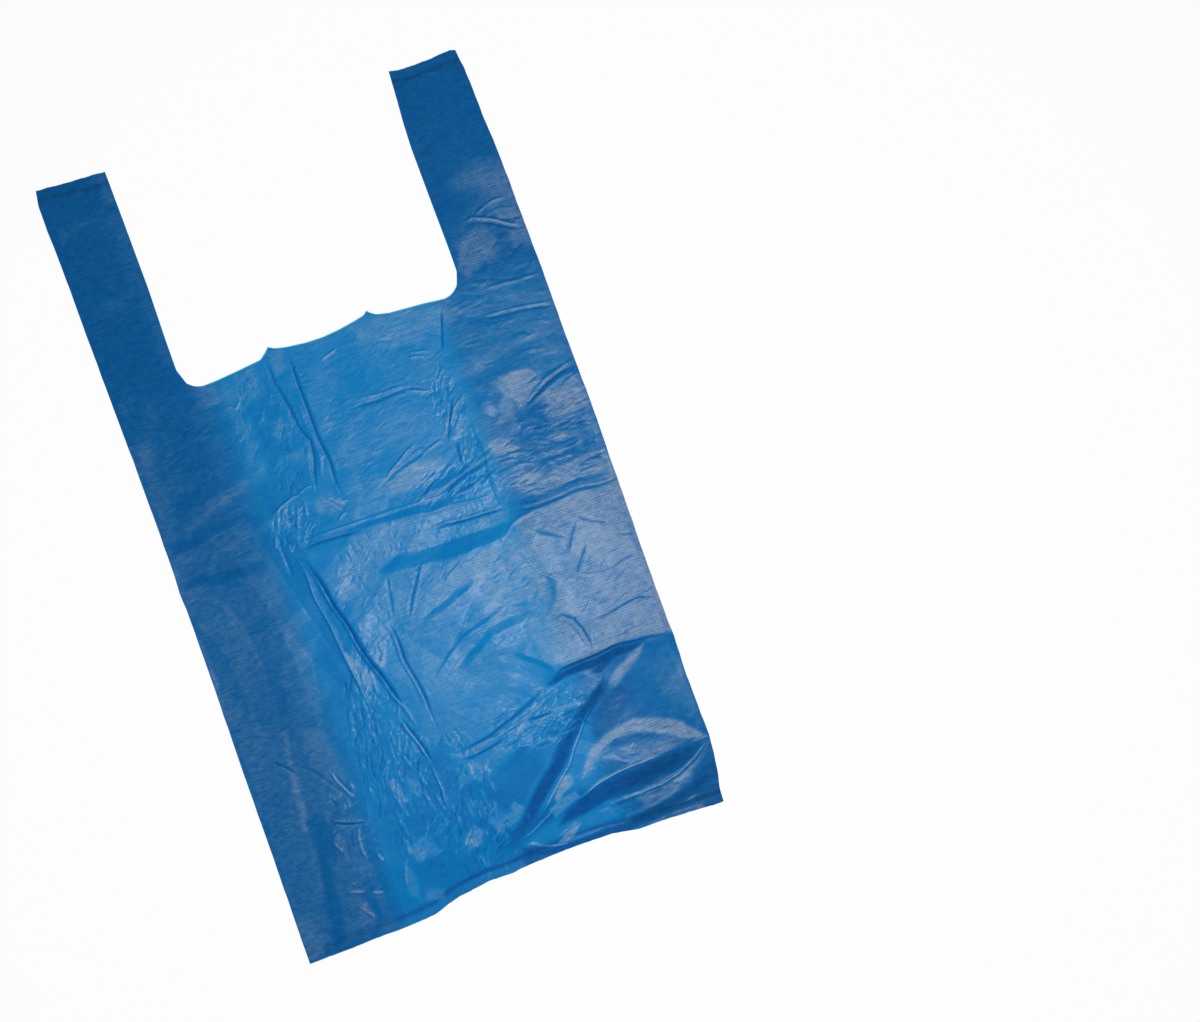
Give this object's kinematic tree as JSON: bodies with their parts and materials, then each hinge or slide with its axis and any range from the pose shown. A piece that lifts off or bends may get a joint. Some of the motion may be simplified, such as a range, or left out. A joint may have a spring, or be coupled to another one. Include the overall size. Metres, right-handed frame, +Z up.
{
  "type": "plastic carrier bag",
  "caption": "Thin blue film carrier bag of the vest kind, with side gussets and loop handles, lying flat and lightly creased.",
  "frame": {"origin": "on the surface that the bag lies on, below the middle of its box", "axes": "+Z up, +Y along the bag towards the handles, +X across the bag to its right side"},
  "size_m": [0.261, 0.468, 0.0137],
  "materials": {
    "film": "translucent blue film with a soft sheen, finely creased and embossed"
  },
  "bodies": {
    "root": {"carrier_bag": "film"}
  },
  "joints": []
}
